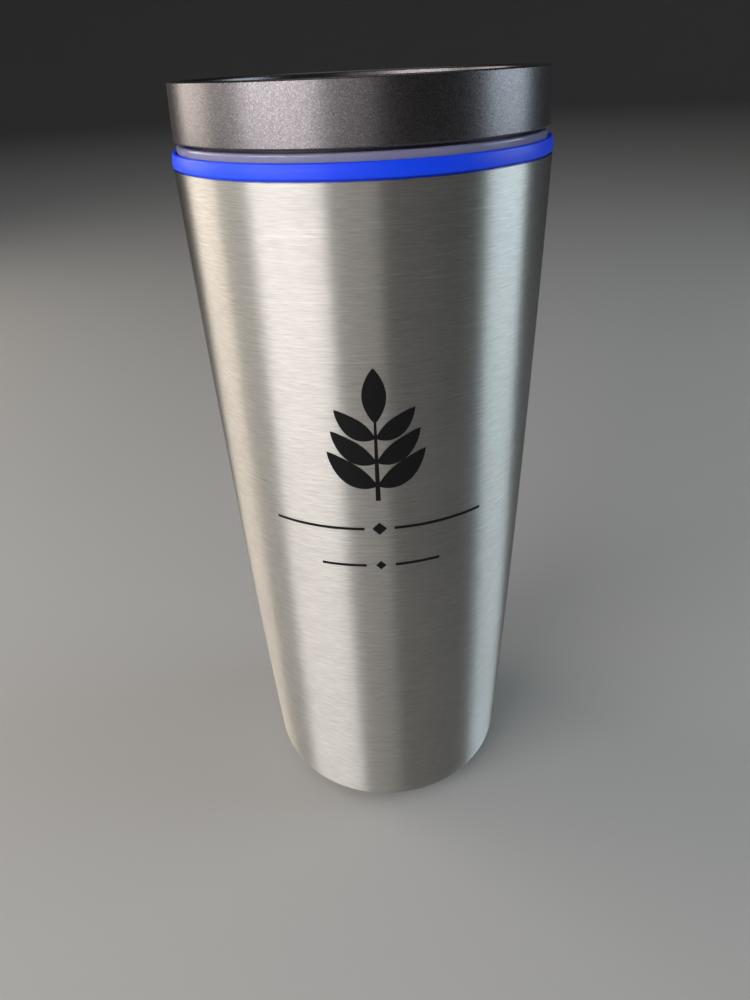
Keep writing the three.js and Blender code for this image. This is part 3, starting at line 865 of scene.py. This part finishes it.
def deck_cutters():
    """Channel, drink opening, slot and vent, each with a softened upper edge."""
    floor = DECK_TOP - CHANNEL_DEPTH
    above = DECK_TOP + 1
    below = DECK_BOTTOM - 1

    def flared(level, ease):
        # widens by ease in a quarter round that ends at the level
        return [(0, level - ease), (0.12 * ease, level - 0.45 * ease),
                (0.45 * ease, level - 0.12 * ease), (ease, level), (ease, above)]

    def channel(grow):
        return plate_outline(CHANNEL_WIDTH, SLIDE_BACK - SLIDE_MARGIN,
                             SLIDE_FRONT + TRAVEL + SLIDE_MARGIN, SLIDE_CORNER, grow)

    def drink(grow):
        return plate_outline(DRINK_SIZE[0], DRINK_MIDDLE - DRINK_SIZE[1] / 2,
                             DRINK_MIDDLE + DRINK_SIZE[1] / 2, DRINK_CORNER, grow)

    def slot(grow):
        reach = STEM_LENGTH / 2 + CLEARANCE
        return plate_outline(STEM_WIDTH + 2 * CLEARANCE, STEM_MIDDLE - reach,
                             STEM_MIDDLE + TRAVEL + reach, 0.7, grow)

    def vent(grow):
        return arc((0, VENT_MIDDLE), VENT_RADIUS + grow, 0, 345, 23)

    return [
        lofted("channel", channel, [(0, floor), *flared(DECK_TOP, 0.3)]),
        lofted("drink", drink, [(0, below), *flared(floor, 0.35)]),
        lofted("slot", slot, [(0, below), *flared(floor, 0.15)]),
        lofted("vent", vent, [(0, below), *flared(DECK_TOP, 0.35)]),
    ]


def cap():
    """The black lid: skirt, rounded rim and sunken deck, with the openings cut through."""
    section = rounded([
        (0, DECK_BOTTOM), (SKIRT_BORE, DECK_BOTTOM, 1.0), (SKIRT_BORE, LID_BOTTOM, 0.25),
        (LID_RADIUS, LID_BOTTOM, 0.35), (LID_TOP_RADIUS, LID_TOP, 0.4),
        (RIM_INNER, LID_TOP, 0.7), (DECK_RADIUS + 0.55, DECK_TOP, 1.2), (0, DECK_TOP),
    ], closed=False, steps=8)
    body = new_object("cap_pearl_black", turned("cap_pearl_black", section, FINE_FACETS))
    placed(combined(body, deck_cutters(), "DIFFERENCE"), "lid_cap")


def plug():
    """The threaded plug under the deck, with a flange, a gasket groove and two rows of lugs."""
    flange = SKIRT_BORE - CLEARANCE
    high = DECK_BOTTOM - CLEARANCE
    section = rounded([
        (PLUG_BORE, PLUG_BOTTOM, 0.4), (PLUG_TOE, PLUG_BOTTOM, 0.4),
        (PLUG_TOE, GASKET_GROOVE[0], 0.15), (GASKET_GROOVE_RADIUS, GASKET_GROOVE[0], 0.2),
        (GASKET_GROOVE_RADIUS, GASKET_GROOVE[1], 0.2), (PLUG_RADIUS, GASKET_GROOVE[1], 0.2),
        (PLUG_RADIUS, LID_BOTTOM, 0.3), (flange, LID_BOTTOM, 0.2),
        (flange, LID_BOTTOM + FLANGE_THICKNESS, 0.2),
        (PLUG_RADIUS, LID_BOTTOM + FLANGE_THICKNESS, 0.3), (PLUG_RADIUS, high, 0.2),
        (PLUG_BORE, high, 0.2),
    ])
    body = new_object("plug_threaded", turned("plug_threaded", section))
    half_pitch = LEAD / STARTS / 2
    lugs = [one for level in (LUG_LEVEL + half_pitch, LUG_LEVEL - half_pitch)
            for one in lug_ring(PLUG_RADIUS, PLUG_LUG_CREST, PLUG_LUG_HEIGHT, level)]
    placed(combined(body, lugs, "UNION"), "lid_plug")


def gasket():
    """The lid's seal: a web in the plug's groove with two pointed lips."""
    bore = GASKET_GROOVE_RADIUS + CLEARANCE
    waist = bore + GASKET_WEB
    lip = radius("lid_gasket")
    low, high = bottom("lid_gasket"), top("lid_gasket")
    section = rounded([
        (bore, low, 0.15), (waist, low, 0.1), (lip, low + GASKET_LIP / 2, 0.15),
        (waist, low + GASKET_LIP, 0.2), (waist, high - GASKET_LIP, 0.2),
        (lip, high - GASKET_LIP / 2, 0.15), (waist, high, 0.1), (bore, high, 0.15),
    ])
    placed(new_object("gasket_two_lip", turned("gasket_two_lip", section)), "lid_gasket")


# ---------------------------------------------------------------- slide

def stem():
    """Snap stem: two legs with barbs, pushed along Y."""
    half = STEM_WIDTH / 2
    slit = STEM_SLIT / 2
    tip = bottom("slider")
    barb_top = tip + BARB_HEIGHT
    slit_top = top("slider_carrier") + SLIT_RISE
    high = SLIDE_BOTTOM + GRIP_ROOT
    leg = [(half, high), (half, barb_top), (half + BARB, barb_top, 0.15), (half, tip, 0.3),
           (slit, tip, 0.2), (slit, slit_top, 0.5)]
    mirrored = [(-corner[0], *corner[1:]) for corner in reversed(leg)]
    profile = rounded(leg + mirrored, steps=4)
    return pushed("stem", profile, STEM_MIDDLE - STEM_LENGTH / 2, STEM_MIDDLE + STEM_LENGTH / 2,
                  STEM_EASE, lambda x, z, y: (x, y, z))


def grip(middle, low, high):
    """A thumb rest: a block whose ridges run across the slide."""
    half = GRIP_SIZE[1] / 2
    spacing = GRIP_SIZE[1] / (RIDGES + 1)
    corners = [(-half, low), (half, low), (half - 0.5, high, 0.7)]
    for i in reversed(range(RIDGES)):
        at = -half + spacing * (i + 1)
        corners += [(at + 0.75, high, 0.25), (at + 0.4, high + RIDGE_HEIGHT, 0.3),
                    (at - 0.4, high + RIDGE_HEIGHT, 0.3), (at - 0.75, high, 0.25)]
    corners.append((0.5 - half, high, 0.7))
    profile = [(middle + y, z) for y, z in rounded(corners, steps=4)]
    return pushed("grip", profile, -GRIP_SIZE[0] / 2, GRIP_SIZE[0] / 2, GRIP_EASE,
                  lambda y, z, x: (x, y, z))


def slide():
    """The thumb slide: a plate with a ridged grip on top and a snap stem below."""
    def outline(grow):
        return plate_outline(SLIDE_WIDTH, SLIDE_BACK, SLIDE_FRONT, SLIDE_CORNER, grow)

    high = SLIDE_BOTTOM + SLIDE_THICKNESS
    middle = (SLIDE_BACK + SLIDE_FRONT) / 2
    stations = rounded_stations(SLIDE_BOTTOM, high, 0.3, 0.6)
    body = new_object("slide_thumb", lofted("slide_thumb", outline, stations))
    extras = [grip(middle, high - GRIP_ROOT, high + GRIP_HEIGHT), stem()]
    placed(combined(body, extras, "UNION"), "slider")


def stem_hole(low, high):
    """A cutter for the hole that the stem passes through."""
    def outline(grow):
        reach = STEM_LENGTH / 2 + CLEARANCE
        return plate_outline(STEM_WIDTH + 2 * CLEARANCE, STEM_MIDDLE - reach,
                             STEM_MIDDLE + reach, 0.5, grow)

    return lofted("hole", outline, [(0, low - 1), (0, high + 1)])


def slab_under_deck(name, node, corner, edge):
    """A rounded plate with the hole for the stem: the seal or its carrier."""
    back, front = span_y(node)
    low, high = bottom(node), top(node)

    def outline(grow):
        return plate_outline(2 * radius(node), back, front, corner, grow)

    body = new_object(name, lofted(name, outline, rounded_stations(low, high, edge, edge)))
    placed(combined(body, [stem_hole(low, high)], "DIFFERENCE"), node)


# ---------------------------------------------------------------- printed mark

MARK_FOOT = 116.0                 # level of the stalk's foot
STALK_WIDTHS = (1.2, 0.6)         # at its foot and at its top
MARK_LEAF = 14.5                  # length of the lowest leaves
LEAF_WIDTH = 5.4
LEAF_STEP = 6.2                   # from one pair of leaves to the next
LEAF_PAIRS = 3
LEAF_SHRINK = (1.5, 0.4)          # how much each pair is shorter and narrower than the last
LEAF_ANGLES = (38, 142)
LEAF_BEND = 0.1
RULES = ((108.0, 27.0, 1.8), (97.0, 15.0, 1.3))   # level, half length, size of the diamond
RULE_GAP = 3.6
RULE_WIDTH = 0.76
INK_LIFT = 0.03                   # of the film's middle, off the steel
INK_DEPTH = 0.025
MERGE = 1e-5                      # points closer than this become one


def on_shell(across, level, lift):
    """A point on the shell's front: millimetres across it, height, and lift off the steel."""
    reach = wall_radius(level) + lift
    angle = across / wall_radius(level) - math.pi / 2
    return reach * math.cos(angle), reach * math.sin(angle), level


def ribbon(bm, spine, half_width):
    """A flat shape laid on the shell along spine(t), with half_width(t) to each side."""
    steps, lanes = 18, 4
    rows = []
    for t in spread(0, 1, steps):
        here = Vector(spine(t))
        ahead = Vector(spine(min(t + 0.01, 1.0))) - Vector(spine(max(t - 0.01, 0.0)))
        side = Vector((-ahead.y, ahead.x)).normalized() * half_width(t)
        row = []
        for s in spread(-1, 1, lanes):
            point = here + side * s
            row.append(bm.verts.new(on_shell(point.x, point.y, INK_LIFT)))
        rows.append(row)
    for first, second in zip(rows, rows[1:]):
        for k in range(lanes):
            bm.faces.new((first[k], first[k + 1], second[k + 1], second[k]))


def leaf(bm, root, angle, length, width, bend):
    """A pointed leaf laid on the shell; bend is how far it bows, as a share of its length."""
    a = math.radians(angle)

    def spine(t):
        sag = bend * length * math.sin(math.pi * t)
        return (root[0] + t * length * math.cos(a),
                root[1] + t * length * math.sin(a) - sag)

    def half_width(t):
        return max(width / 2 * math.sin(math.pi * t) ** 0.8, 0.02)

    ribbon(bm, spine, half_width)


def diamond(bm, level, size):
    """A small square on its corner, in the middle of a rule."""
    ribbon(bm, lambda t: (0, level + size * (2 * t - 1)),
           lambda t: max(size * (1 - abs(2 * t - 1)), 0.01))


def printed_mark():
    """A plain sprig of leaves over two rules, each with a diamond, in black ink."""
    bm = bmesh.new()
    bm.loops.layers.uv.new("grain")
    stalk = LEAF_STEP * LEAF_PAIRS + 2
    foot, tip = (width / 2 for width in STALK_WIDTHS)
    ribbon(bm, lambda t: (0, MARK_FOOT + stalk * t), lambda t: foot - (foot - tip) * t)
    leaf(bm, (0, MARK_FOOT + stalk - 0.5), 90, 0.9 * MARK_LEAF, LEAF_WIDTH, 0)
    shorter, narrower = LEAF_SHRINK
    for pair in range(LEAF_PAIRS):
        level = MARK_FOOT + 4 + LEAF_STEP * pair
        for angle in LEAF_ANGLES:
            leaf(bm, (0, level), angle, MARK_LEAF - shorter * pair,
                 LEAF_WIDTH - narrower * pair, LEAF_BEND)
    for level, length, size in RULES:
        diamond(bm, level, size)
        for side in (-1, 1):
            ribbon(bm, lambda t: (side * (RULE_GAP + (length - RULE_GAP) * t), level),
                   lambda t: RULE_WIDTH / 2)
    bmesh.ops.remove_doubles(bm, verts=bm.verts, dist=MERGE)
    piece = new_object("printed_mark", finished_mesh("printed_mark", bm))
    film = piece.modifiers.new("ink film", "SOLIDIFY")
    film.thickness = INK_DEPTH * MM
    film.offset = 0
    piece.data = applied(piece)
    piece.data.materials.append(INK)
    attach(piece, "tumbler")


# ---------------------------------------------------------------- stage, lights, camera

# In metres from here on.
COVE_RADIUS = 6.0
COVE_CURVE = 2.5                  # radius of the bend from floor to wall
COVE_FACETS = 96
LIGHT_DISTANCE = 0.95
LIGHT_HEIGHT = 0.44
LIGHT_MIDDLE = 0.35               # height of a softbox's middle above the floor
LIGHT_AIM = 0.15                  # level that it points at
OVERHEAD_SIZE = 2.6
OVERHEAD_LEVEL = 2.4


def plain_material(name, colour, roughness):
    """A matt finish with a barely visible cloudiness."""
    g = Graph(name)
    cloud = g.noise(g.place, 6.0, 3.0)
    darker = tuple(0.97 * c for c in colour)
    g.feed("Base Color", g.mixed(cloud, darker, colour))
    g.set(Roughness=roughness)
    return g.material


def cove():
    """A pale floor that curves up into a round wall, so that no horizon shows."""
    profile = [(0, 0), *arc((COVE_RADIUS - COVE_CURVE, COVE_CURVE), COVE_CURVE, -90, 0, 16),
               (COVE_RADIUS, 2 * COVE_RADIUS)]
    bm = bmesh.new()
    rings = []
    for r, z in profile:
        angles = [2 * math.pi * k / COVE_FACETS for k in range(COVE_FACETS)]
        rings.append([bm.verts.new((r * math.cos(a), r * math.sin(a), z)) for a in angles])
    for lower, upper in zip(rings, rings[1:]):
        for k in range(COVE_FACETS):
            n = (k + 1) % COVE_FACETS
            bm.faces.new((lower[k], lower[n], upper[n], upper[k]))
    bmesh.ops.remove_doubles(bm, verts=bm.verts, dist=1e-6)
    mesh = bpy.data.meshes.new("floor")
    bm.to_mesh(mesh)
    bm.free()
    mesh.shade_smooth()
    mesh.materials.append(plain_material("floor", (0.46, 0.46, 0.455), 0.7))
    new_object("floor", mesh)


def area_light(name, width, height, power, colour):
    """A rectangular light that the camera doesn't see."""
    light = bpy.data.lights.new(name, "AREA")
    light.shape = "RECTANGLE"
    light.size, light.size_y = width, height
    light.energy = power
    light.color = colour
    lamp = bpy.data.objects.new(name, light)
    bpy.context.scene.collection.objects.link(lamp)
    lamp.visible_camera = False
    return lamp


def softbox(name, azimuth, spread_angle, power, colour):
    """A tall soft light that stands round the object, seen only in what it lights.

    Azimuth 0 is in front and 90 to the right; spread_angle is how wide the object sees it.
    """
    width = 2 * LIGHT_DISTANCE * math.tan(math.radians(spread_angle / 2))
    lamp = area_light(name, width, LIGHT_HEIGHT, power, colour)
    a = math.radians(azimuth)
    lamp.location = (LIGHT_DISTANCE * math.sin(a), -LIGHT_DISTANCE * math.cos(a), LIGHT_MIDDLE)
    aim = Vector((0, 0, LIGHT_AIM)) - lamp.location
    lamp.rotation_euler = aim.to_track_quat("-Z", "Y").to_euler()


def studio():
    """A dim, slightly blue room, softboxes round the object and one large light overhead."""
    world = bpy.data.worlds.new("studio")
    world.use_nodes = True
    background = world.node_tree.nodes["Background"]
    background.inputs["Color"].default_value = (0.78, 0.88, 1.0, 1)
    background.inputs["Strength"].default_value = 0.03
    bpy.context.scene.world = world
    softbox("left", -46, 47, 8.8, (1.0, 0.955, 0.935))
    softbox("left_side", -80, 24, 1.1, (1.0, 0.955, 0.89))
    softbox("left_rear", -110, 32, 3.6, (1.0, 0.90, 0.79))
    softbox("right_rear", 92, 33, 3.5, (0.76, 0.91, 1.0))
    softbox("front", -6, 28, 0.9, (1.0, 0.96, 0.91))
    overhead = area_light("overhead", OVERHEAD_SIZE, OVERHEAD_SIZE, 13, (1, 1, 1))
    overhead.location = (0, 0, OVERHEAD_LEVEL)


def camera():
    """Close above the lid's height, looking down at the tumbler, slightly tilted."""
    place = (0, -0.1934, 0.2056)
    pitch, yaw, roll = math.radians(30.5), math.radians(-0.3), math.radians(-2.73)
    data = bpy.data.cameras.new("camera")
    data.sensor_fit = "AUTO"
    data.sensor_width = 36.0
    data.lens = 27.0
    data.clip_start = 0.01
    eye = bpy.data.objects.new("camera", data)
    bpy.context.scene.collection.objects.link(eye)
    forward = Vector((math.sin(yaw) * math.cos(pitch), math.cos(yaw) * math.cos(pitch),
                      -math.sin(pitch)))
    level_right = Vector((math.cos(yaw), -math.sin(yaw), 0))
    level_up = level_right.cross(forward)
    right = level_right * math.cos(roll) + level_up * math.sin(roll)
    up = level_up * math.cos(roll) - level_right * math.sin(roll)
    turn = Matrix((right, up, -forward)).transposed().to_4x4()
    eye.matrix_world = Matrix.Translation(place) @ turn
    bpy.context.scene.camera = eye


# ---------------------------------------------------------------- scene

shell()
plate()
pad()
liner()
ring()
air_seal()
cap()
plug()
gasket()
slide()
slab_under_deck("slide_seal", "slider_seal", 6.0, 0.3)
slab_under_deck("slide_carrier", "slider_carrier", 5.0, 0.35)
printed_mark()
cove()
studio()
camera()
bpy.context.scene.view_settings.view_transform = "Standard"
